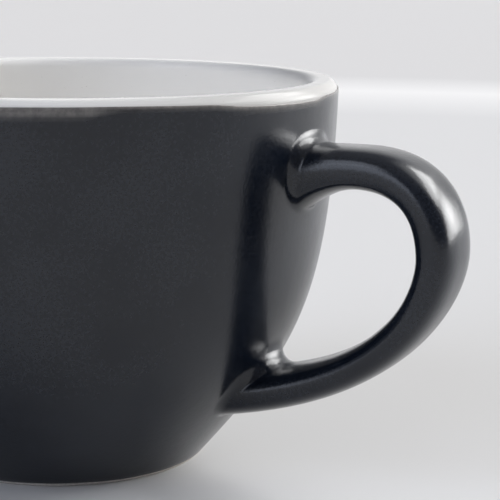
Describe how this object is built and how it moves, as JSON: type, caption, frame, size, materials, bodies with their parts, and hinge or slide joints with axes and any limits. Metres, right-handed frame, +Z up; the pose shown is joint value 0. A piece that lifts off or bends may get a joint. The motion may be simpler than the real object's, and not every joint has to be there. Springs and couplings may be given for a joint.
{
  "type": "coffee cup",
  "caption": "Thick-walled ceramic coffee cup with a rounded bowl on a bare foot ring, a flat land on the lip and a loop handle; dark satin outside, white gloss inside.",
  "frame": {"origin": "centre of the cup's box in plan, on the plane that the foot ring stands on", "axes": "+Z up out of the mouth, +X from the bowl towards the handle, whose loop lies in the XZ plane"},
  "size_m": [0.1078, 0.085, 0.0589],
  "materials": {
    "stoneware_biscuit": "unglazed, fired, fine matte",
    "joining_slip": "unglazed, fired, fine matte",
    "black_satin_glaze": "satin",
    "white_gloss_glaze": "gloss"
  },
  "bodies": {
    "root": {"cup_body": "stoneware_biscuit", "handle": "stoneware_biscuit", "upper_slip_joint": "joining_slip", "lower_slip_joint": "joining_slip", "black_outer_glaze": "black_satin_glaze", "white_lining_glaze": "white_gloss_glaze", "underside_glaze": "black_satin_glaze"}
  },
  "joints": []
}
